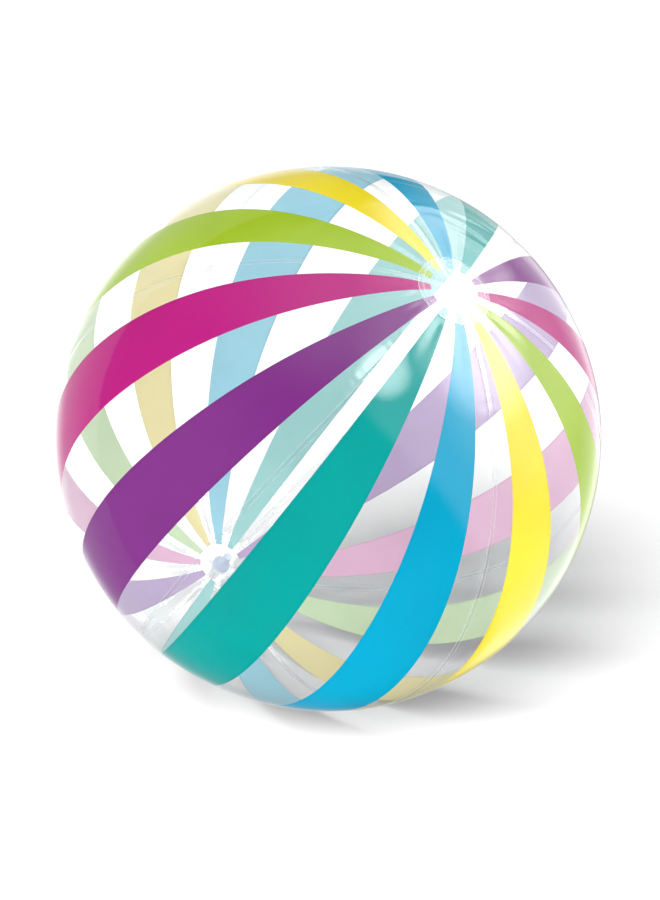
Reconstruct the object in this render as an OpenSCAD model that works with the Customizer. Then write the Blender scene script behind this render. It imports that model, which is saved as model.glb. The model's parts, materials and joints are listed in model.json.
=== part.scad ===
// Inflatable beach ball: six clear vinyl gores, twelve printed stripes,
// a round patch at each pole and a push-in valve.
// The origin is the middle of the small flat on which the ball rests.

/* [Ball] */
// Radius of the inflated ball
ball_r = 340; // [250:5:450]
// Thickness of the clear film
film_t = 0.25; // [0.2:0.05:0.5]
// How far the skin is pressed flat where the ball rests
rest_sag = 1.15; // [0.5:0.05:2]
// Tilt of the ball's axis from upright
axis_tilt = 45; // [42:1:48]
// Turn of the first seam about the ball's axis
seam_turn = 24.5; // [20:0.5:30]
// Width of a seam's lap, in degrees round the axis
lap_angle = 1; // [0.6:0.1:2]

/* [Stripes] */
// Width of a printed stripe, in degrees round the axis
stripe_angle = 15; // [8:0.5:20]
// Thickness of the ink
ink_t = 0.1; // [0.06:0.02:0.2]
// Distance from the axis at which the stripes end
stripe_end_r = 31; // [24:1:60]

/* [Poles] */
// Radius of the round patch at each pole
patch_r = 47; // [36:1:70]
// Radius of the opening that the gore tips leave at the blank pole
tip_r = 8; // [5:1:20]

/* [Valve] */
// Radius of the valve's flange
flange_r = 21; // [17:0.5:24]
// Thickness of the flange
flange_t = 0.8; // [0.6:0.1:1.5]
// Outer radius of the sleeve at its mouth
sleeve_r = 11.6; // [11.4:0.1:12.5]
// Depth of the sleeve below the flange
sleeve_depth = 12; // [8:0.5:16]
// Outer radius of the blow-in stem
stem_r = 5.8; // [5.2:0.1:6]
// Radius of the stem's bore
bore_r = 4.2; // [4.2:0.1:4.6]
// Length of the stem
stem_len = 26; // [20:1:32]
// How far the stem's lip stands above the flange when it is pushed in
stem_proud = 0.3; // [0.2:0.1:2]

/* [Hidden] */
$fn = 180;
gap = 0.02;                 // between layers that are welded or printed together
panel_count = 6;
panel_angle = 360 / panel_count;
centre_z = ball_r - rest_sag;
tip_valve_r = sleeve_r + 2.6;
patch_hole_r = sleeve_r + 1.4;
lap_end_r = patch_r - 6;    // the laps run to just under the patches
edge_angle = 0.04;          // keeps neighbouring gores apart
joint_angle = 1;            // how far a lap reaches back under its own gore
joggle_from = 0.8;          // where the gore steps down to its lap
joggle_to = 0.3;
sleeve_t = 0.7;
running = 0.3;              // free space round the stem
head_t = 2.2;               // thickness of the plug's head
head_r = 6.4;
shank_r = 3.85;
shank_tip_r = 2.7;
shank_len = 4;
lip_r = 7;
lip_t = 1.6;
hinge_offset = 9;           // from the stem's axis to the plug's fold
fold_room = 0.4;            // free space round the fold
root_w = 0.9;               // thickness of the block that the strap grows from
tab_w = 5;                  // finger tab on the plug's head
tab_reach = 9.4;
tab_t = 1.2;
web_w = 4;                  // width of the plug's strap
web_t = 0.6;
flap_r = 5.3;
flap_t = 0.5;
patch_in = ball_r + gap;
patch_out = patch_in + film_t;
flange_in = patch_out + gap;
flange_out = flange_in + flange_t;
stem_top = flange_out + stem_proud;
stem_base = stem_top - stem_len;
beyond = 1.2 * ball_r;      // past the ball's outside
overrun = 1;                // how far a cut runs past what it cuts
chamfer = 0.5;

// Colours of the two stripes on each panel, in order round the axis
COLOUR_NAMES = ["teal", "blue", "yellow", "lime", "magenta", "purple"];
COLOURS = ["#00aaa5", "#00b0dd", "#ffeb46", "#a0c828", "#c61b85", "#86348d"];

function stripe_name(n, side) =
    str("stripe_", COLOUR_NAMES[(2 * (n - 1) + side) % 6], "_", n);

PANELS = [for (n = [1:panel_count]) str("panel_", n)];
STRIPES = [for (n = [1:panel_count], side = [0, 1]) stripe_name(n, side)];
FITTINGS = ["cap_patch", "valve_patch", "valve_flange", "valve_sleeve",
    "valve_stem", "check_flap", "plug", "plug_strap"];

// Puts the ball's own frame, with the blank pole at +Z, where the ball rests
module place() {
    translate([0, 0, centre_z])
        rotate([axis_tilt, 0, 0])
            children();
}

// The valve's frame: Z points out of the ball, Y towards the plug's hinge
module valve_place() {
    place() rotate([180, 0, 180]) children();
}

// A ball of radius r about the same centre, flat where the skin is pressed by the ground
module pressed_ball(r) {
    intersection() {
        place() rotate([0, 0, seam_turn + panel_angle / 2]) sphere(r);
        translate([-r, -r, ball_r - r]) cube(2 * r);
    }
}

module shell(r_in, r_out) {
    difference() {
        pressed_ball(r_out);
        pressed_ball(r_in);
    }
}

// A slice of space between two meridians, kept clear of the axis
module slice(from, to, cap_cut, valve_cut) {
    place()
        rotate([0, 0, from])
            rotate_extrude(angle = to - from)
                polygon([[valve_cut, -beyond], [beyond, -beyond], [beyond, beyond],
                    [cap_cut, beyond], [cap_cut, 0], [valve_cut, 0]]);
}

module layer(r_in, r_out, from, to, cap_cut, valve_cut) {
    intersection() {
        shell(r_in, r_out);
        slice(from, to, cap_cut, valve_cut);
    }
}

function seam_at(n) = seam_turn + panel_angle * (n - 1);
function stripe_mid(n, side) = seam_at(n) + panel_angle * (side ? 0.75 : 0.25);

// One gore, with a lap that steps down and runs on under its neighbour
module panel(n) {
    from = seam_at(n);
    to = from + panel_angle;
    lap_out = ball_r - film_t - gap;
    color("#f4f9fb", 0.35)
        union() {
            layer(ball_r - film_t, ball_r, from + edge_angle, to - edge_angle, tip_r, tip_valve_r);
            layer(lap_out - film_t, lap_out, to - joint_angle, to + lap_angle, lap_end_r, lap_end_r);
            layer(lap_out - film_t / 2, ball_r - film_t / 2, to - joggle_from, to - joggle_to,
                lap_end_r + overrun, lap_end_r + overrun);
        }
}

// One stripe, printed on the inside of the film
module stripe(n, side) {
    ink_out = ball_r - film_t - gap;
    mid = stripe_mid(n, side);
    color(COLOURS[(2 * (n - 1) + side) % 6])
        layer(ink_out - ink_t, ink_out, mid - stripe_angle / 2, mid + stripe_angle / 2,
            stripe_end_r, stripe_end_r);
}

// A round layer of film on the sphere, in the valve's frame
module disc(r_in, r_out, hole, rim) {
    rotate_extrude()
        intersection() {
            difference() {
                circle(r_out);
                circle(r_in);
            }
            translate([hole, 0]) square([rim - hole, r_out + overrun]);
        }
}

module cap_patch() {
    color("#f4f9fb", 0.45)
        place() disc(patch_in, patch_out, 0, patch_r);
}

module valve_patch() {
    color("#f4f9fb", 0.45)
        valve_place() disc(patch_in, patch_out, patch_hole_r, patch_r);
}

module valve_flange() {
    color("white")
        valve_place() disc(flange_in, flange_out, sleeve_r + gap, flange_r);
}

// Soft funnel that turns inside out when the stem is pulled
module valve_sleeve() {
    neck = stem_r + running;
    low = flange_in - sleeve_depth;
    color("#eef3f7")
        valve_place()
            rotate_extrude()
                polygon([
                    [sleeve_r - sleeve_t, flange_out], [sleeve_r, flange_out],
                    [sleeve_r, flange_in - sleeve_depth / 3],
                    [neck + sleeve_t, low], [neck, low],
                    [neck, low + sleeve_t],
                    [sleeve_r - sleeve_t, flange_in - sleeve_depth / 3 + sleeve_t]
                ]);
}

// Blow-in tube with a lip, and a lug from which the plug's strap grows
module valve_stem() {
    lug_end = hinge_offset + fold_room + root_w;
    color("#dfe9f2")
        valve_place()
            difference() {
                union() {
                    translate([0, 0, stem_base]) cylinder(r = stem_r, h = stem_len);
                    translate([0, 0, stem_top - lip_t]) cylinder(r = lip_r, h = lip_t);
                    translate([-web_w / 2, 0, stem_top - lip_t])
                        cube([web_w, lug_end, lip_t]);
                    translate([-web_w / 2, lug_end - root_w, stem_top - lip_t])
                        cube([web_w, root_w, lip_t + web_t]);
                }
                translate([0, 0, stem_base - overrun])
                    cylinder(r = bore_r, h = stem_len + 2 * overrun);
            }
}

// Soft flap across the inner end of the stem
module check_flap() {
    color("#e8eef4")
        valve_place()
            translate([0, 0, stem_base - gap - flap_t])
                cylinder(r = flap_r, h = flap_t);
}

// Stopper with a short tapered shank and a finger tab, closed at rest
module plug() {
    color("#e8f0f6")
        valve_place()
            translate([0, 0, stem_top + gap])
                union() {
                    rotate_extrude()
                        polygon([[0, -shank_len], [shank_tip_r, -shank_len],
                            [shank_r, 0], [head_r, 0], [head_r, head_t - chamfer],
                            [head_r - chamfer, head_t], [0, head_t]]);
                    linear_extrude(tab_t)
                        union() {
                            translate([-tab_w / 2, tab_w / 2 - tab_reach])
                                square([tab_w, tab_reach - tab_w / 2 - bore_r]);
                            translate([0, tab_w / 2 - tab_reach]) circle(tab_w / 2);
                        }
                }
}

// Web from the plug's head to the fold
module plug_strap() {
    color("#e8f0f6")
        valve_place()
            difference() {
                translate([-web_w / 2, bore_r, stem_top + 2 * gap])
                    cube([web_w, hinge_offset - 2 * gap - bore_r, web_t]);
                translate([0, 0, stem_top - overrun])
                    cylinder(r = head_r + gap, h = head_t + 2 * overrun);
            }
}

for (n = [1:panel_count])
    panel(n);
for (n = [1:panel_count], side = [0, 1])
    stripe(n, side);
cap_patch();
valve_patch();
valve_flange();
valve_sleeve();
valve_stem();
check_flap();
plug();
plug_strap();
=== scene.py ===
"""An inflatable beach ball: six clear gores, twelve printed stripes, two patches and a push-in valve."""

import json
import math
import bpy
import bmesh
import numpy as np
from mathutils import Matrix, Vector


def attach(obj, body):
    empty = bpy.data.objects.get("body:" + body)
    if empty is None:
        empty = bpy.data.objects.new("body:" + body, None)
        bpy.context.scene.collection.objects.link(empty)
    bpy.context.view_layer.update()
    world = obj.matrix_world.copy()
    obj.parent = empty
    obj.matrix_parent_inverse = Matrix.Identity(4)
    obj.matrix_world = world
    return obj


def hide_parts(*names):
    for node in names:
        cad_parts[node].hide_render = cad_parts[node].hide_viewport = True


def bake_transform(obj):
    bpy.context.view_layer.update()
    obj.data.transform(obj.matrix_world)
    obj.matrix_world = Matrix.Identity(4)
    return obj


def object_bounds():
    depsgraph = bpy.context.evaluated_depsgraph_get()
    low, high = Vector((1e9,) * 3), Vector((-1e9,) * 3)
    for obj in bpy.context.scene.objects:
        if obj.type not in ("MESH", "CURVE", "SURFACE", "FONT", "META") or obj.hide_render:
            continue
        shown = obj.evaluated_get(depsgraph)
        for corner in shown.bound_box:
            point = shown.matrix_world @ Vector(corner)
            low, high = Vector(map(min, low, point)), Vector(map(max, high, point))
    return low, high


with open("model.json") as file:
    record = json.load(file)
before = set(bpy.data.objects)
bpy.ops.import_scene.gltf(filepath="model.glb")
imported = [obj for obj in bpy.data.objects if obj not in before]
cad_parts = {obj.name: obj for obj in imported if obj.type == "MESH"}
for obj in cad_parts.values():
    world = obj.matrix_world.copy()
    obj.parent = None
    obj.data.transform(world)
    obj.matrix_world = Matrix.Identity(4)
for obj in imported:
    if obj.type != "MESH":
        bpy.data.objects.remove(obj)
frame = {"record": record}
cad_low, cad_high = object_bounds()

# ---------------------------------------------------------------- sizes, in metres
MM = 0.001
PORT = next(m for m in frame["record"]["mounts"] if m["name"] == "valve_port")
OUTWARD = Vector(PORT["axis"]).normalized()
MOUTH = Vector(PORT["pos_m"])
# The ball's axis runs through the valve's mouth, and its centre is above the origin
CENTRE = MOUTH - OUTWARD * (MOUTH.y / OUTWARD.y)
BALL_R = cad_high.z - CENTRE.z
CAP_AXIS = -OUTWARD
ACROSS = Vector((1, 0, 0))
UPWARD = CAP_AXIS.cross(ACROSS)

PANELS = 6
PANEL_ANGLE = 2 * math.pi / PANELS
SEAM_TURN = math.radians(24.5)
STRIPE_ANGLE = math.radians(15)
STRIPE_END_R = 31 * MM
FILM_T = 0.25 * MM
LAP = 6 * MM
# Heights of the ink's two faces above the film's outer face: it lies just under the film
INK_LOW, INK_HIGH = -0.40 * MM, -0.29 * MM
# Where the gores' tips end, and where the patches' inner weld runs, from the axis
CAP_TIP_R, VALVE_TIP_R = 8 * MM, 14.4 * MM
PATCH_R, WELD_IN_R = 47 * MM, 40.5 * MM
PATCH_HOLE_R = {"cap_patch": 0.6 * MM, "valve_patch": 13 * MM}
# Height of the pressed skin above the floor, and how softly the skin turns up from it
REST_LIFT = 0.15 * MM
REST_SOFT = 0.5 * MM
COLOUR_NAMES = ["teal", "blue", "yellow", "lime", "magenta", "purple"]


# ---------------------------------------------------------------- the skin's surface
def smooth(x):
    x = np.clip(x, 0, 1)
    return x * x * (3 - 2 * x)


def seam_distance(theta, phi):
    """Distance along the skin to the nearest seam, and that seam's number."""
    turn = (phi - SEAM_TURN) / PANEL_ANGLE
    seam = np.round(turn)
    return BALL_R * np.sin(theta) * (turn - seam) * PANEL_ANGLE, seam % PANELS


# Creases that the film keeps from being folded: panel, polar angle, share of the panel's turn,
# direction in degrees from the meridian, and length, width and depth in millimetres
CREASES = [
    (0, 17, 0.30, 92, 60, 5.0, 0.7), (0, 22, 0.36, 80, 80, 6.0, 0.9), (0, 27, 0.25, 97, 95, 7.0, 0.9),
    (0, 33, 0.45, 86, 110, 8.0, 0.8), (0, 24, 0.75, 100, 70, 6.0, 0.6), (0, 38, 0.70, 75, 90, 9.0, 0.6),
    (1, 30, 0.55, 65, 80, 9.0, 0.4), (2, 95, 0.40, 20, 130, 12.0, 0.35),
    (3, 70, 0.60, 150, 120, 12.0, 0.3), (4, 110, 0.45, 60, 120, 12.0, 0.35),
    (5, 80, 0.50, 110, 120, 12.0, 0.35), (3, 128, 0.35, 30, 90, 9.0, 0.4),
    (4, 40, 0.30, 120, 80, 8.0, 0.4), (5, 140, 0.60, 80, 80, 8.0, 0.5), (2, 150, 0.50, 95, 70, 7.0, 0.6),
    (1, 120, 0.50, 40, 120, 12.0, 0.35),
]
# Share of its depth by which a crease sinks on either side of its ridge, and where, in widths
CREASE_DIPS = [(0.55, 1.6), (0.3, -1.9)]
# How far a crease bends off its line over its own length
CREASE_BOW = 0.06


def bell(x):
    return np.exp(-x * x)


def crease_height(theta, phi):
    total = np.zeros_like(theta)
    for panel, polar, turn, direction, length, width, depth in CREASES:
        middle = SEAM_TURN + (panel + turn) * PANEL_ANGLE
        south = BALL_R * (theta - math.radians(polar))
        east = BALL_R * np.sin(theta) * ((phi - middle + math.pi) % (2 * math.pi) - math.pi)
        c, s = math.cos(math.radians(direction)), math.sin(math.radians(direction))
        along, across = south * c + east * s, -south * s + east * c
        across = across + CREASE_BOW * along * along / (length * MM)
        x = across / (width * MM)
        profile = bell(x)
        for share, place in CREASE_DIPS:
            profile = profile - share * bell(x - place)
        total += depth * MM * bell(along / (0.5 * length * MM)) * profile
    return total


# How the blown-up film departs from a true sphere
BULGE = 0.5 * MM                        # of a gore between its seams
VALLEY, VALLEY_W = 0.7 * MM, 7 * MM     # along a seam
GATHER, GATHER_PITCH = 0.16 * MM, 15 * MM
GATHER_OUT, GATHER_W = 5 * MM, 9 * MM   # where the gathers stand beside a seam
GATHER_DRIFT, GATHER_BEAT = 61 * MM, 83 * MM
RADIAL = 0.28 * MM                      # of the pleats round a pole
SWELL = 0.30 * MM                       # of the whole skin, broad and shallow
SINK = 0.6 * MM                         # keeps all of it inside the ball's true size


def wave(distance, pitch):
    """The phase, at a distance, of a ripple of this pitch."""
    return distance / pitch * 2 * math.pi


def skin_height(theta, phi):
    """How far the film's outer face stands off the true sphere."""
    s, seam = seam_distance(theta, phi)
    ring = BALL_R * np.sin(theta)
    along = BALL_R * theta
    open_skin = smooth((ring - 30 * MM) / (60 * MM))
    bulge = BULGE * (1 - (s / (ring * PANEL_ANGLE / 2)) ** 2)
    valley = -VALLEY * bell(s / VALLEY_W)
    # The two sides of a seam gather out of step, and more in some places than in others
    side = np.where(s > 0, 0.9, 0.0)
    drift = 1.4 * np.sin(wave(along, GATHER_DRIFT))
    pucker = np.sin(wave(along, GATHER_PITCH) + 1.7 * seam + side + drift)
    beat = 0.55 + 0.45 * np.sin(wave(along, GATHER_BEAT) + 2.1 * seam)
    gathers = GATHER * pucker * beat * bell((np.abs(s) - GATHER_OUT) / GATHER_W)
    # Pleats start at the patch's rim and die away over the next few centimetres
    near_pole = smooth((ring - 48 * MM) / (12 * MM)) * (1 - smooth((ring - 62 * MM) / (70 * MM)))
    radial = RADIAL * near_pole * (np.sin(24 * phi + 0.7) + 0.6 * np.sin(17 * phi + 2.0))
    x = np.sin(theta) * np.cos(phi)
    y = np.sin(theta) * np.sin(phi)
    z = np.cos(theta)
    swell = np.sin(9 * x + 4 * y + 1) + np.sin(7 * y - 6 * z + 2) + np.sin(8 * z + 5 * x - 1)
    moves = (bulge + valley + gathers + SWELL * swell) * open_skin
    return moves + radial + crease_height(theta, phi) - SINK


def skin_point(theta, phi, lift):
    """Points at a height above the film's outer face, pressed flat where the ball rests."""
    r = BALL_R + skin_height(theta, phi) + lift
    x = r * np.sin(theta) * np.cos(phi)
    y = r * np.sin(theta) * np.sin(phi)
    z = r * np.cos(theta)
    p = (
        np.array(CENTRE)
        + x[..., None] * np.array(ACROSS)
        + y[..., None] * np.array(UPWARD)
        + z[..., None] * np.array(CAP_AXIS)
    )
    ground = REST_LIFT - lift
    over = p[..., 2] - ground
    p[..., 2] = ground + 0.5 * (over + np.sqrt(over * over + REST_SOFT * REST_SOFT))
    return p


# ---------------------------------------------------------------- mesh building
def make_object(name, points, faces, materials, face_materials):
    mesh = bpy.data.meshes.new(name)
    mesh.from_pydata(points, [], faces)
    for m in materials:
        mesh.materials.append(m)
    mesh.polygons.foreach_set("material_index", np.asarray(face_materials, np.int32))
    mesh.polygons.foreach_set("use_smooth", np.full(len(faces), True))
    mesh.update()
    obj = bpy.data.objects.new(name, mesh)
    bpy.context.scene.collection.objects.link(obj)
    return obj


def grid_faces(rows, cols, start, flip, wrap=False):
    """Quads of a grid of points as an array."""
    last = cols if wrap else cols - 1
    i, j = np.meshgrid(np.arange(rows - 1), np.arange(last), indexing="ij")
    k = (j + 1) % cols
    a, b = start + i * cols + j, start + i * cols + k
    c, d = start + (i + 1) * cols + k, start + (i + 1) * cols + j
    quads = np.stack([a, d, c, b], -1).reshape(-1, 4)
    return quads[:, ::-1] if flip else quads


def closed_sheet(name, outer, inner, materials, pick):
    """A closed thin sheet between two grids of points.

    pick(rows, cols) gives the material of each outer quad, of each inner quad and of the rim.
    """
    rows, cols = outer.shape[:2]
    points = np.concatenate([outer.reshape(-1, 3), inner.reshape(-1, 3)])
    n = rows * cols
    top = grid_faces(rows, cols, 0, False)
    under = grid_faces(rows, cols, n, True)
    ring = np.concatenate([
        np.arange(cols), np.arange(1, rows) * cols + cols - 1,
        (rows - 1) * cols + np.arange(cols - 2, -1, -1), np.arange(rows - 2, 0, -1) * cols,
    ])
    after = np.roll(ring, -1)
    rim = np.stack([ring, after, after + n, ring + n], -1)
    outer_mat, inner_mat, rim_mat = pick(rows - 1, cols - 1)
    faces = np.concatenate([top, under, rim])
    mats = np.concatenate([outer_mat.reshape(-1), inner_mat.reshape(-1), np.full(len(rim), rim_mat)])
    return make_object(name, points.tolist(), faces.tolist(), materials, mats)


# ---------------------------------------------------------------- materials
def nodes_of(name):
    material = bpy.data.materials.new(name)
    material.use_nodes = True
    tree = material.node_tree
    tree.nodes.clear()
    return material, tree


def add(tree, kind, **values):
    node = tree.nodes.new(kind)
    for key, value in values.items():
        if hasattr(node, key):
            setattr(node, key, value)
        else:
            node.inputs[key.replace("_", " ")].default_value = value
    return node


def noise(tree, scale, detail):
    coords = add(tree, "ShaderNodeTexCoord")
    tex = add(tree, "ShaderNodeTexNoise", Scale=scale, Detail=detail, Roughness=0.5)
    tree.links.new(coords.outputs["Object"], tex.inputs["Vector"])
    return tex


def ramp(tree, source, low, high):
    """A colour that goes from low to high over the middle of a noise's range."""
    node = add(tree, "ShaderNodeValToRGB")
    first, last = node.color_ramp.elements
    first.position, last.position = 0.35, 0.65
    first.color = (*low, 1)
    last.color = (*high, 1)
    tree.links.new(source, node.inputs["Fac"])
    return node


def to_linear(rgb):
    """A colour given as 0 to 255 on a screen, as shares of light."""
    shares = [value / 255 for value in rgb]
    return tuple(c / 12.92 if c <= 0.04045 else ((c + 0.055) / 1.055) ** 2.4 for c in shares)


HAZE_COLOUR = (0.86, 0.89, 0.91, 1)


def hazy_clear(tree, tint, low, high):
    """See-through film with a haze whose share drifts between low and high."""
    clear = add(tree, "ShaderNodeBsdfTransparent", Color=(*tint, 1))
    body = add(tree, "ShaderNodeBsdfDiffuse", Color=HAZE_COLOUR)
    cloud = noise(tree, 9, 4)
    veil = add(tree, "ShaderNodeMapRange")
    veil.inputs["To Min"].default_value = low
    veil.inputs["To Max"].default_value = high
    tree.links.new(cloud.outputs["Fac"], veil.inputs["Value"])
    mix = add(tree, "ShaderNodeMixShader")
    tree.links.new(veil.outputs["Result"], mix.inputs[0])
    tree.links.new(clear.outputs[0], mix.inputs[1])
    tree.links.new(body.outputs[0], mix.inputs[2])
    return mix


def bumps(tree, scale, strength, distance):
    """Fine unevenness of a surface, as a normal."""
    bump = add(tree, "ShaderNodeBump", Strength=strength, Distance=distance)
    tree.links.new(noise(tree, scale, 2).outputs["Fac"], bump.inputs["Height"])
    return bump.outputs["Normal"]


def shine(tree, head_on):
    """The share of light that a clear surface mirrors: a little head on, all of it when grazing."""
    weight = add(tree, "ShaderNodeLayerWeight", Blend=0.5)
    power = add(tree, "ShaderNodeMath", operation="POWER")
    power.inputs[1].default_value = 6
    tree.links.new(weight.outputs["Facing"], power.inputs[0])
    spread = add(tree, "ShaderNodeMapRange")
    spread.inputs["To Min"].default_value = head_on
    tree.links.new(power.outputs[0], spread.inputs["Value"])
    return weight, spread.outputs["Result"]


def film_material(name, haze, tint, gloss_roughness=0.04):
    """The outer face of clear vinyl: see-through, a little hazy, and glossy by angle."""
    material, tree = nodes_of(name)
    out = add(tree, "ShaderNodeOutputMaterial")
    hazy = hazy_clear(tree, tint, haze * 0.6, haze * 1.4)
    gloss = add(tree, "ShaderNodeBsdfGlossy", Color=(1, 1, 1, 1), Roughness=gloss_roughness)
    weight, mirrored = shine(tree, 0.03)
    normal = bumps(tree, 30, 0.08, 1 * MM)
    tree.links.new(normal, gloss.inputs["Normal"])
    tree.links.new(normal, weight.inputs["Normal"])
    shiny = add(tree, "ShaderNodeMixShader")
    tree.links.new(mirrored, shiny.inputs[0])
    tree.links.new(hazy.outputs[0], shiny.inputs[1])
    tree.links.new(gloss.outputs[0], shiny.inputs[2])
    tree.links.new(shiny.outputs[0], out.inputs["Surface"])
    return material


def inner_material(name, haze, tint):
    """The film's inner face, too close to the outer one to be seen as a second shine."""
    material, tree = nodes_of(name)
    out = add(tree, "ShaderNodeOutputMaterial")
    hazy = hazy_clear(tree, tint, 0.0, haze * 2)
    tree.links.new(hazy.outputs[0], out.inputs["Surface"])
    return material


INK_UNEVENNESS = 0.06


def ink_material(name, rgb, alpha, gloss):
    """Printed ink, slightly uneven. Outside, the film over it gives the shine."""
    material, tree = nodes_of(name)
    out = add(tree, "ShaderNodeOutputMaterial")
    shader = add(tree, "ShaderNodeBsdfPrincipled")
    colour = to_linear(rgb)
    low = tuple(c * (1 - INK_UNEVENNESS) for c in colour)
    high = tuple(min(1, c * (1 + INK_UNEVENNESS)) for c in colour)
    cloud = noise(tree, 6, 5)
    mix = ramp(tree, cloud.outputs["Fac"], low, high)
    tree.links.new(mix.outputs["Color"], shader.inputs["Base Color"])
    shader.inputs["Roughness"].default_value = 0.4
    shader.inputs["Specular IOR Level"].default_value = gloss
    shader.inputs["Alpha"].default_value = alpha
    tree.links.new(bumps(tree, 40, 0.05, 1 * MM), shader.inputs["Normal"])
    tree.links.new(shader.outputs[0], out.inputs["Surface"])
    return material


def vinyl_material(name, colour, roughness, alpha=1.0):
    """Moulded soft vinyl of the valve, satin, with fine mottling."""
    material, tree = nodes_of(name)
    out = add(tree, "ShaderNodeOutputMaterial")
    shader = add(tree, "ShaderNodeBsdfPrincipled")
    cloud = noise(tree, 60, 4)
    mix = ramp(tree, cloud.outputs["Fac"], tuple(c * 0.95 for c in colour), colour)
    tree.links.new(mix.outputs["Color"], shader.inputs["Base Color"])
    shader.inputs["Roughness"].default_value = roughness
    shader.inputs["Alpha"].default_value = alpha
    tree.links.new(bumps(tree, 900, 0.15, 0.2 * MM), shader.inputs["Normal"])
    tree.links.new(shader.outputs[0], out.inputs["Surface"])
    return material


# Colours of the print's face, and of its back: the back is paler partly in its own colour and partly with
# painted light that shines through the ink from outside
OUTSIDE = {"teal": (0, 166, 161), "blue": (0, 171, 211), "yellow": (255, 230, 42),
           "lime": (171, 204, 44), "magenta": (193, 16, 130), "purple": (131, 47, 137)}
BACK_AND_GLOW = {"teal": (165, 215, 213), "blue": (160, 212, 228), "yellow": (234, 224, 172),
          "lime": (205, 226, 190), "magenta": (230, 188, 215), "purple": (192, 172, 208)}

FILM = film_material("clear_film", 0.004, (0.968, 0.972, 0.974))
INNER = inner_material("film_inside", 0.002, (0.99, 0.993, 0.995))
WELD = film_material("weld_line", 0.34, (0.9, 0.92, 0.93), 0.2)
PATCH = film_material("patch_film", 0.02, (0.985, 0.99, 0.992))
INK_OUT = {c: ink_material("ink_" + c, OUTSIDE[c], 1.0, 0.0) for c in COLOUR_NAMES}
# The print's back is painted paler, with painted light that shines through the ink from outside
INK_BACK_AND_GLOW = {c: ink_material("ink_back_" + c, BACK_AND_GLOW[c], 0.97, 0.25) for c in COLOUR_NAMES}
WHITE_VINYL = vinyl_material("white_vinyl", (0.86, 0.88, 0.9), 0.35)
CLEAR_VINYL = vinyl_material("bluish_vinyl", (0.62, 0.7, 0.86), 0.25, 0.75)


# ---------------------------------------------------------------- gores
ROW_STEP = 3.6 * MM
# Columns beside a seam, and along the lap that runs on beneath the next gore
SEAM_STOPS = np.array([0.0, 0.45, 0.9, 1.5, 2.4, 3.6, 5.2, 7.2, 9.6, 12.5, 16.0]) * MM
MID_COLUMNS = 58
LAP_STOPS = np.array([0.6, 1.2, 2.0, 3.0, 4.2, 5.1, 5.55, 6.0]) * MM
BEAD, BEAD_W = 0.10 * MM, 0.4 * MM      # of the weld along a gore's edge
DROP_START, DROP_W = 2.4 * MM, 1.8 * MM  # of the step down to the lap


def polar_rows(start_r, end_r):
    """Polar angles from one distance off the axis at the cap to another at the valve."""
    t0 = math.asin(start_r / BALL_R)
    t1 = math.pi - math.asin(end_r / BALL_R)
    count = int(round((t1 - t0) * BALL_R / ROW_STEP))
    return np.linspace(t0, t1, count + 1)


def gore(n):
    rows = polar_rows(CAP_TIP_R, VALVE_TIP_R)
    ring = BALL_R * np.sin(rows)
    width = ring * PANEL_ANGLE
    shrink = np.minimum(1, width / (3 * SEAM_STOPS[-1]))
    zone = SEAM_STOPS[-1] * shrink
    near = SEAM_STOPS[None] * shrink[:, None]
    frac = np.linspace(0, 1, MID_COLUMNS + 2)[None, 1:-1]
    mid = zone[:, None] + (width - 2 * zone)[:, None] * frac
    far = width[:, None] - near[:, ::-1]
    lap_shrink = np.minimum(1, width / (6 * LAP))
    lap = width[:, None] + LAP_STOPS[None] * lap_shrink[:, None]
    s = np.concatenate([near, mid, far, lap], 1)
    theta = np.repeat(rows[:, None], s.shape[1], 1)
    phi = SEAM_TURN + n * PANEL_ANGLE + s / ring[:, None]
    # The film steps down just before the next gore's edge and runs on beneath it
    back = s - width[:, None]
    drop = (FILM_T + 0.03 * MM) * smooth((back + DROP_START) / DROP_W)
    bead = BEAD * bell((s - SEAM_STOPS[1]) / BEAD_W)
    outer = skin_point(theta, phi, bead - drop)
    inner = skin_point(theta, phi, -FILM_T - drop)

    def pick(r, c):
        film, weld, inside = 0, 1, 2
        face = np.full((r, c), film)
        face[:, :2] = weld
        face[:, -2:] = weld
        return face, np.full((r, c), inside), weld

    obj = closed_sheet(f"gore_{n + 1}", outer, inner, [FILM, WELD, INNER], pick)
    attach(obj, "ball")
    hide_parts(f"panel_{n + 1}")


# ---------------------------------------------------------------- stripes
STRIPE_COLUMNS = 20


def stripe(n, side):
    colour = COLOUR_NAMES[(2 * n + side) % len(COLOUR_NAMES)]
    rows = polar_rows(STRIPE_END_R, STRIPE_END_R)
    mid = SEAM_TURN + PANEL_ANGLE * (n + (0.75 if side else 0.25))
    phi = mid + STRIPE_ANGLE * np.linspace(-0.5, 0.5, STRIPE_COLUMNS + 1)
    theta, phi = np.meshgrid(rows, phi, indexing="ij")
    outer = skin_point(theta, phi, np.full_like(theta, INK_HIGH))
    inner = skin_point(theta, phi, np.full_like(theta, INK_LOW))

    def pick(r, c):
        face, back = 0, 1
        return np.full((r, c), face), np.full((r, c), back), face

    obj = closed_sheet(f"print_{colour}_{n + 1}", outer, inner, [INK_OUT[colour], INK_BACK_AND_GLOW[colour]], pick)
    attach(obj, "ball")
    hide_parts(f"stripe_{colour}_{n + 1}")


# ---------------------------------------------------------------- pole patches
PATCH_LIFT = 0.16 * MM
PATCH_TURNS = 192
# The two raised welds of a patch: distance from the axis and height
PATCH_WELDS = [(WELD_IN_R, 0.16 * MM), (PATCH_R - 0.6 * MM, 0.12 * MM)]
PATCH_WELD_W = 0.5 * MM


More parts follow.
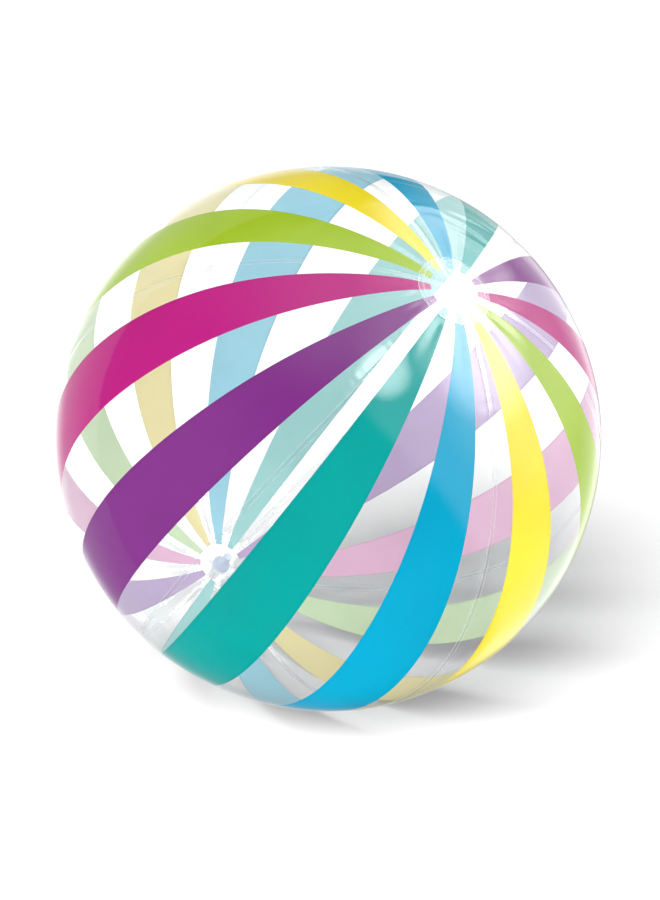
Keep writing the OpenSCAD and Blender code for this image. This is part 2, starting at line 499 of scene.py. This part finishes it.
def patch(name, node, at_cap):
    """A round film disc over the gore tips, with a raised weld ring near its rim."""
    fine_from = WELD_IN_R - 1.5 * MM
    steps = np.unique(np.concatenate([
        np.linspace(PATCH_HOLE_R[node], fine_from, 16), np.linspace(fine_from, PATCH_R, 22)]))
    turns = np.linspace(0, 2 * math.pi, PATCH_TURNS, endpoint=False)
    ring, turn = np.meshgrid(steps, turns, indexing="ij")
    theta = np.arcsin(ring / BALL_R)
    if not at_cap:
        theta = math.pi - theta
    ridge = sum(height * bell((ring - place) / PATCH_WELD_W) for place, height in PATCH_WELDS)
    outer = skin_point(theta, turn, PATCH_LIFT + FILM_T + ridge)
    inner = skin_point(theta, turn, np.full_like(theta, PATCH_LIFT))
    rows, cols = len(steps), PATCH_TURNS
    n = rows * cols
    points = np.concatenate([outer.reshape(-1, 3), inner.reshape(-1, 3)])
    flip = not at_cap
    top = grid_faces(rows, cols, 0, flip, True)
    under = grid_faces(rows, cols, n, not flip, True)
    j = np.arange(cols)
    k = (j + 1) % cols
    last = (rows - 1) * cols
    rim = np.stack([last + j, last + j + n, last + k + n, last + k], -1)
    hole = np.stack([j, k, k + n, j + n], -1)
    if flip:
        rim, hole = rim[:, ::-1], hole[:, ::-1]
    film, weld, inside = 0, 1, 2
    on_weld = (np.abs(steps[:-1] - WELD_IN_R) < 0.9 * MM) | (steps[:-1] > PATCH_R - 1.3 * MM)
    mats = np.concatenate([
        np.repeat(np.where(on_weld, weld, film), cols), np.full(len(under), inside),
        np.full(len(rim), weld), np.full(len(hole), film)])
    faces = np.concatenate([top, under, rim, hole])
    obj = make_object(name, points.tolist(), faces.tolist(), [PATCH, WELD, INNER], mats)
    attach(obj, "ball")
    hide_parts(node)


# ---------------------------------------------------------------- valve
VALVE_Y = UPWARD
VALVE_X = VALVE_Y.cross(OUTWARD)
VALVE_FRAME = Matrix.Translation(CENTRE) @ Matrix((VALVE_X, VALVE_Y, OUTWARD)).transposed().to_4x4()
# Radii and lengths of the valve's pieces, and heights from the ball's centre
STEM_TOP = (MOUTH - CENTRE).length
STEM_LEN, STEM_R, BORE_R = 26 * MM, 5.8 * MM, 4.2 * MM
STEM_BASE = STEM_TOP - STEM_LEN
LIP_R, LIP_T = 7 * MM, 1.6 * MM
FLAP_R, FLAP_T = 5.3 * MM, 0.5 * MM
HEAD_R, HEAD_T, DISH = 6.4 * MM, 2.2 * MM, 0.5 * MM
SHANK_R, SHANK_TIP_R, SHANK_LEN = 3.85 * MM, 2.7 * MM, 4 * MM
HINGE = 9 * MM                          # from the stem's axis to the strap's fold
ROOT_NEAR, ROOT_FAR = HINGE + 0.4 * MM, HINGE + 1.3 * MM
WEB_HALF, WEB_T = 2 * MM, 0.6 * MM
FLANGE_R, SLEEVE_R = 21 * MM, 11.6 * MM
FLANGE_BASE = BALL_R + 0.29 * MM
FLANGE_TOP = BALL_R + 1.09 * MM
SLEEVE_DEPTH, SLEEVE_T = 12 * MM, 0.7 * MM
GAP = 0.02 * MM                         # between pieces that touch
TURNS = 96                              # of a revolved piece
ROUND_STEPS = 5                         # across a rounded corner


def rounded(corners, radii):
    """A closed outline with its corners rounded."""
    made = []
    count = len(corners)
    for i, corner in enumerate(corners):
        p = np.array(corner, float)
        a = np.array(corners[i - 1], float) - p
        b = np.array(corners[(i + 1) % count], float) - p
        r = min(radii[i], np.linalg.norm(a) * 0.45, np.linalg.norm(b) * 0.45)
        if r <= 0:
            made.append(p)
            continue
        a, b = p + a / np.linalg.norm(a) * r, p + b / np.linalg.norm(b) * r
        for t in np.linspace(0, 1, ROUND_STEPS + 1):
            made.append((1 - t) ** 2 * a + 2 * t * (1 - t) * p + t * t * b)
    return made


def revolve(outline):
    """Points and faces of a closed outline of (radius, height) turned about the valve's axis."""
    count = len(outline)
    angles = np.linspace(0, 2 * math.pi, TURNS, endpoint=False)
    on_axis = [i for i, p in enumerate(outline) if p[0] < 1e-7]
    points, index = [], {}
    for i, (r, h) in enumerate(outline):
        if i in on_axis:
            index[i] = [len(points)] * TURNS
            points.append((0, 0, h))
        else:
            index[i] = list(range(len(points), len(points) + TURNS))
            points += [(r * math.cos(a), r * math.sin(a), h) for a in angles]
    faces = []
    for i in range(count):
        m = (i + 1) % count
        if i in on_axis and m in on_axis:
            continue
        for j in range(TURNS):
            k = (j + 1) % TURNS
            quad = [index[i][j], index[i][k], index[m][k], index[m][j]]
            face = [v for q, v in enumerate(quad) if v != quad[q - 1]]
            if len(face) > 2:
                faces.append(face)
    return points, faces


def valve_piece(name, parts, material):
    """One object in the valve's frame from several closed bodies, joined into one."""
    result = None
    for i, (points, faces) in enumerate(parts):
        placed = [tuple(VALVE_FRAME @ Vector(p)) for p in points]
        obj = make_object(name if i == 0 else f"{name}_{i}", placed, faces, [material], [0] * len(faces))
        bm = bmesh.new()
        bm.from_mesh(obj.data)
        bmesh.ops.recalc_face_normals(bm, faces=bm.faces)
        bm.to_mesh(obj.data)
        bm.free()
        if result is None:
            result = obj
            continue
        join = result.modifiers.new("join", "BOOLEAN")
        join.operation, join.object, join.solver = "UNION", obj, "EXACT"
        apply_modifiers(result)
        bpy.data.objects.remove(obj)
    return result


def apply_modifiers(obj):
    """Puts the mesh that the modifiers make in place of the object's own."""
    graph = bpy.context.evaluated_depsgraph_get()
    mesh = bpy.data.meshes.new_from_object(obj.evaluated_get(graph), depsgraph=graph)
    obj.modifiers.clear()
    obj.data = mesh


def auto_smooth(obj, degrees=35):
    """Smooth shading, with edges sharper than this kept crisp."""
    bm = bmesh.new()
    bm.from_mesh(obj.data)
    for edge in bm.edges:
        if len(edge.link_faces) == 2:
            edge.smooth = edge.calc_face_angle(0) < math.radians(degrees)
    for face in bm.faces:
        face.smooth = True
    bm.to_mesh(obj.data)
    bm.free()


def block(x, y, z, bevel):
    """A box between two corners with its edges rounded, as points and faces."""
    bm = bmesh.new()
    bmesh.ops.create_cube(bm, size=1)
    for v in bm.verts:
        v.co = Vector((
            x[0] + (v.co.x + 0.5) * (x[1] - x[0]), y[0] + (v.co.y + 0.5) * (y[1] - y[0]),
            z[0] + (v.co.z + 0.5) * (z[1] - z[0])))
    bmesh.ops.bevel(bm, geom=bm.edges[:], offset=bevel, segments=3, profile=0.5, affect="EDGES")
    bm.verts.index_update()
    points = [tuple(v.co) for v in bm.verts]
    faces = [[v.index for v in f.verts] for f in bm.faces]
    bm.free()
    return points, faces


def sphere_drop(r):
    """How far the ball's surface falls away at a distance from the axis."""
    return BALL_R - math.sqrt(BALL_R * BALL_R - r * r)


def from_mm(pairs):
    return [(r * MM, h * MM) for r, h in pairs]


# The flange's section: the foot's radii, then radii and heights over the mouldings of its face
FLANGE_FOOT = [SLEEVE_R + GAP, 14 * MM, 17 * MM, 19 * MM, 20.6 * MM]
FLANGE_RIM = from_mm([(21, 0.12), (20.9, 0.35)])
FLANGE_FACE = from_mm([
    (20.2, 0.62), (19.4, 0.5), (18.8, 0.38), (18.2, 0.5), (17.6, 0.66), (16.4, 0.68), (15.6, 0.6),
    (15.1, 0.45), (14.6, 0.6), (14.0, 0.72), (12.9, 0.78)])


def valve_flange():
    """A disc that follows the ball, with a rounded rim and two shallow grooves."""
    low = FLANGE_BASE + 0.12 * MM
    hole = FLANGE_FOOT[0]
    outline = [(r, low - sphere_drop(r)) for r in FLANGE_FOOT]
    outline += [(r, low - sphere_drop(FLANGE_R) + rise) for r, rise in FLANGE_RIM]
    outline += [(r, low - sphere_drop(r) + rise) for r, rise in FLANGE_FACE]
    outline += [(12.3 * MM, FLANGE_TOP + GAP), (11.9 * MM, FLANGE_TOP), (hole, FLANGE_TOP - 0.25 * MM)]
    obj = valve_piece("flange_disc", [revolve(outline)], WHITE_VINYL)
    auto_smooth(obj)
    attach(obj, "ball")
    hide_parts("valve_flange")


def valve_sleeve():
    """A soft funnel with two gentle folds; the real one turns inside out as the stem is pulled, but here it
    keeps this one shape.
    """
    top = FLANGE_TOP - 0.1 * MM
    low = FLANGE_BASE - SLEEVE_DEPTH
    wide = SLEEVE_R - SLEEVE_T / 2
    neck = STEM_R + 0.25 * MM + SLEEVE_T / 2
    path = []
    for t in np.linspace(0, 1, 40):
        taper = smooth((t - 0.3) / 0.62)
        ripple = 0.22 * MM * math.sin(5.5 * math.pi * t) * math.sin(math.pi * t)
        path.append((float(wide + (neck - wide) * taper + ripple), top + (low - top) * t))
    half = SLEEVE_T / 2
    outline = [(r + half, h) for r, h in path] + [(r - half, h) for r, h in reversed(path)]
    obj = valve_piece("sleeve_funnel", [revolve(outline)], CLEAR_VINYL)
    auto_smooth(obj, 60)
    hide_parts("valve_sleeve")
    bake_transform(obj)


def valve_stem():
    """The blow-in tube, with its lip, the lug beside it and the root of the strap."""
    lip_base = STEM_TOP - LIP_T
    tube = rounded(
        [(BORE_R, STEM_BASE), (STEM_R, STEM_BASE), (STEM_R, lip_base - 0.8 * MM), (LIP_R, lip_base),
         (LIP_R, STEM_TOP), (BORE_R, STEM_TOP)],
        [0.3 * MM, 0.4 * MM, 0.6 * MM, 0.3 * MM, 0.4 * MM, 0.4 * MM])
    across = (-WEB_HALF, WEB_HALF)
    lug = block(across, (LIP_R - 1.2 * MM, ROOT_FAR), (lip_base, STEM_TOP), 0.25 * MM)
    root = block(across, (ROOT_NEAR, ROOT_FAR), (lip_base, STEM_TOP + WEB_T), 0.2 * MM)
    obj = valve_piece("stem_tube", [revolve(tube), lug, root], CLEAR_VINYL)
    auto_smooth(obj)
    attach(obj, "stem")
    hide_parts("valve_stem")


def check_flap():
    """The soft disc that closes the stem's inner end."""
    base = STEM_BASE - GAP
    outline = rounded(
        [(0, base - FLAP_T), (FLAP_R, base - FLAP_T), (FLAP_R, base), (0, base)],
        [0, 0.2 * MM, 0.15 * MM, 0])
    obj = valve_piece("flap_disc", [revolve(outline)], CLEAR_VINYL)
    auto_smooth(obj)
    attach(obj, "flap")
    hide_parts("check_flap")


def plug():
    """The stopper: a tapered shank, a head with a dished top, and a finger tab."""
    low = STEM_TOP + GAP
    high = low + HEAD_T
    outline = rounded(
        [(0, low - SHANK_LEN), (SHANK_TIP_R, low - SHANK_LEN), (SHANK_R, low), (HEAD_R, low),
         (HEAD_R, high), (HEAD_R - 1.4 * MM, high), (HEAD_R - 2.2 * MM, high - DISH), (0, high - DISH)],
        [0, 0.5 * MM, 0.15 * MM, 0.3 * MM, 0.7 * MM, 0.3 * MM, 0.3 * MM, 0])
    tab = block((-2.5 * MM, 2.5 * MM), (-9.3 * MM, -4.5 * MM), (low + 0.05 * MM, low + 1.2 * MM), 0.35 * MM)
    obj = valve_piece("stopper_plug", [revolve(outline), tab], CLEAR_VINYL)
    auto_smooth(obj)
    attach(obj, "stopper")
    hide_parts("plug")


def plug_strap():
    """The thin web that joins the plug to the stem's lug, thinned where the real one folds; here it lies
    flat and straight.
    """
    width, thick = WEB_HALF - 0.1 * MM, WEB_T / 2
    mid = STEM_TOP + 0.36 * MM
    stations = np.linspace(HEAD_R - 0.5 * MM, HINGE + 0.6 * MM, 22)
    points, faces = [], []
    for y in stations:
        t = (y - stations[0]) / (stations[-1] - stations[0])
        waist = width * (1 - 0.12 * math.sin(math.pi * t))
        half = thick * (1 - 0.35 * float(bell((y - HINGE) / (0.5 * MM))))
        for x, z in ((-waist, -half), (waist, -half), (waist, half), (-waist, half)):
            points.append((x, float(y), mid + z))
    last = len(stations) - 1
    for i in range(last):
        for j in range(4):
            k = (j + 1) % 4
            faces.append([4 * i + j, 4 * i + k, 4 * i + 4 + k, 4 * i + 4 + j])
    faces += [[0, 1, 2, 3], [4 * last + 3, 4 * last + 2, 4 * last + 1, 4 * last]]
    obj = valve_piece("strap_web", [(points, faces)], CLEAR_VINYL)
    auto_smooth(obj)
    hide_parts("plug_strap")
    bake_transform(obj)


for number in range(PANELS):
    gore(number)
    for side_number in (0, 1):
        stripe(number, side_number)
patch("cap_disc", "cap_patch", True)
patch("valve_disc", "valve_patch", False)
valve_flange()
valve_sleeve()
valve_stem()
check_flap()
plug()
plug_strap()


# ---------------------------------------------------------------- floor, light and camera
VIEW_TURN, VIEW_RISE = math.radians(-37.4), math.radians(17.56)
VIEW_DISTANCE = 9.2 * BALL_R
LENS, SENSOR = 99.87, 36
# Where the camera aims, beside and below the ball's centre
AIM_RIGHT, AIM_DOWN = 1.9 * MM, 14.4 * MM
# From the ball to the camera, and the picture's right and up
LEVEL = math.cos(VIEW_RISE)
BACK = Vector((math.sin(VIEW_TURN) * LEVEL, -math.cos(VIEW_TURN) * LEVEL, math.sin(VIEW_RISE)))
RIGHT = Vector((math.cos(VIEW_TURN), math.sin(VIEW_TURN), 0))
UP = BACK.cross(RIGHT)


def view_vector(right, up, toward):
    """A direction given as the camera sees it."""
    return (RIGHT * right + UP * up + BACK * toward).normalized()


def floor():
    """A pale ground that takes the shadow and isn't mirrored in the ball."""
    reach = 30
    corners = [(-reach, -reach, 0), (reach, -reach, 0), (reach, reach, 0), (-reach, reach, 0)]
    mesh = bpy.data.meshes.new("floor")
    mesh.from_pydata(corners, [], [(0, 1, 2, 3)])
    obj = bpy.data.objects.new("floor", mesh)
    bpy.context.scene.collection.objects.link(obj)
    material, tree = nodes_of("pale_floor")
    out = add(tree, "ShaderNodeOutputMaterial")
    shader = add(tree, "ShaderNodeBsdfDiffuse", Color=(0.92, 0.92, 0.92, 1))
    tree.links.new(shader.outputs[0], out.inputs["Surface"])
    mesh.materials.append(material)
    obj.visible_glossy = False
    return obj


def aim(obj, at, to):
    """Puts a camera or light at one point, looking at another."""
    obj.location = at
    obj.rotation_mode = "QUATERNION"
    obj.rotation_quaternion = (Vector(to) - Vector(at)).to_track_quat("-Z", "Y")


def light_only(obj, receivers):
    group = bpy.data.collections.new(obj.name + "_lights")
    for receiver in receivers:
        group.objects.link(receiver)
    obj.light_linking.receiver_collection = group


KEY_STRENGTH, FILL_STRENGTH, FORM_STRENGTH = 5.2, 0.72, 0.35


def sun(name, direction, strength, angle, receivers, shadow=True):
    """A sun that shines from a direction, its disc this many degrees wide, on these objects only."""
    light = bpy.data.lights.new(name, "SUN")
    light.energy = strength
    light.angle = math.radians(angle)
    light.use_shadow = shadow
    obj = bpy.data.objects.new(name, light)
    bpy.context.scene.collection.objects.link(obj)
    aim(obj, CENTRE + Vector(direction), CENTRE)
    obj.visible_glossy = False
    light_only(obj, receivers)


def studio_lights(ground):
    """A key light that throws the shadow, and an even light from all round for the ball."""
    pieces = [o for o in bpy.context.scene.objects if o.type == "MESH" and o != ground]
    forward = Vector((BACK.x, BACK.y, 0)).normalized()
    key = -0.36 * RIGHT + 0.93 * forward + Vector((0, 0, 0.77))
    sun("key", key, KEY_STRENGTH, 40, [ground])
    for quarter in range(4):
        turn = math.radians(45 + 90 * quarter)
        side = math.cos(turn) * RIGHT + math.sin(turn) * forward
        sun(f"fill_{quarter}", side + Vector((0, 0, 0.6)), FILL_STRENGTH, 90, pieces, False)
    sun("form", key, FORM_STRENGTH, 60, pieces, False)
    # The ball's colours don't spill onto the floor
    for obj in pieces:
        obj.visible_diffuse = False


def within(tree, direction, vector, start, end):
    """A smooth step from 0 to 1 as a direction's share along a vector goes from start to end."""
    dot = add(tree, "ShaderNodeVectorMath", operation="DOT_PRODUCT")
    tree.links.new(direction, dot.inputs[0])
    dot.inputs[1].default_value = vector.normalized()
    step = add(tree, "ShaderNodeMapRange", interpolation_type="SMOOTHSTEP")
    step.inputs["From Min"].default_value = start
    step.inputs["From Max"].default_value = end
    tree.links.new(dot.outputs["Value"], step.inputs["Value"])
    return step.outputs["Result"]


def combine(tree, operation, a, b):
    """One sum or product of two values, each a number or a node's output."""
    node = add(tree, "ShaderNodeMath", operation=operation)
    for socket, value in zip(node.inputs, (a, b)):
        if isinstance(value, (int, float)):
            socket.default_value = value
        else:
            tree.links.new(value, socket)
    return node.outputs[0]


def world_light():
    """White to the eye, soft where it lights, and a room with a wall and softboxes where it is mirrored."""
    world = bpy.data.worlds.new("studio")
    bpy.context.scene.world = world
    world.use_nodes = True
    tree = world.node_tree
    tree.nodes.clear()
    direction = add(tree, "ShaderNodeTexCoord").outputs["Generated"]

    def facing(vector, start, end):
        return within(tree, direction, vector, start, end)

    def both(*parts):
        product = parts[0]
        for part in parts[1:]:
            product = combine(tree, "MULTIPLY", product, part)
        return product

    ceiling = both(facing(UP, 0.2, 0.8), facing(RIGHT, -0.9, 0.15), facing(BACK, -0.35, 0.1))
    behind = both(facing(-BACK, 0.80, 0.96), facing(UP, -0.5, 0.0))
    left_wall = both(facing(UP, -0.95, 0.2), facing(-BACK, 0.34, 0.38), facing(-RIGHT, -0.2, 0.3))
    left_glow = facing(-RIGHT, 0.3, 0.9)
    sill = view_vector(0.632, 0.731, -0.259)
    window = both(facing(sill, 0.0, 0.12), facing(RIGHT, 0.1, 0.4), facing(BACK, -1.0, -0.9))
    softbox = facing(view_vector(0.83, 0.48, 0.27), 0.88, 0.998)
    softbox_halo = facing(view_vector(0.91, 0.40, 0.05), 0.68, 0.998)
    top_light = facing(view_vector(0.50, 0.80, -0.33), 0.91, 0.99)
    lamp = facing(view_vector(0.40, 0.44, 0.80), 0.976, 0.999)
    total = 0.0
    for part, level in (
        (ceiling, 1.9), (left_wall, 0.8), (left_glow, 0.35), (window, 1.5), (behind, 0.6),
        (softbox, 11.0), (softbox_halo, 3.4), (top_light, 5.4), (lamp, 12.0),
    ):
        total = combine(tree, "ADD", total, combine(tree, "MULTIPLY", part, level))
    out = add(tree, "ShaderNodeOutputWorld")
    soft = add(tree, "ShaderNodeBackground", Color=(1, 1, 1, 1), Strength=0.38)
    seen = add(tree, "ShaderNodeBackground", Color=(1, 1, 1, 1), Strength=1.0)
    mirrored = add(tree, "ShaderNodeBackground", Color=(1, 1, 1, 1))
    tree.links.new(total, mirrored.inputs["Strength"])
    path = add(tree, "ShaderNodeLightPath")
    first = add(tree, "ShaderNodeMixShader")
    tree.links.new(path.outputs["Is Glossy Ray"], first.inputs[0])
    tree.links.new(soft.outputs[0], first.inputs[1])
    tree.links.new(mirrored.outputs[0], first.inputs[2])
    second = add(tree, "ShaderNodeMixShader")
    tree.links.new(path.outputs["Is Camera Ray"], second.inputs[0])
    tree.links.new(first.outputs[0], second.inputs[1])
    tree.links.new(seen.outputs[0], second.inputs[2])
    tree.links.new(second.outputs[0], out.inputs["Surface"])


def camera():
    data = bpy.data.cameras.new("camera")
    data.lens = LENS
    data.sensor_width = SENSOR
    data.clip_end = 100
    obj = bpy.data.objects.new("camera", data)
    bpy.context.scene.collection.objects.link(obj)
    aim(obj, CENTRE + BACK * VIEW_DISTANCE, CENTRE - UP * AIM_DOWN + RIGHT * AIM_RIGHT)
    bpy.context.scene.camera = obj


studio_lights(floor())
world_light()
camera()
scene = bpy.context.scene
scene.view_settings.view_transform = "Standard"
scene.view_settings.look = "None"
# A ray through the ball meets many clear layers
scene.cycles.transparent_max_bounces = 48
scene.cycles.max_bounces = 16
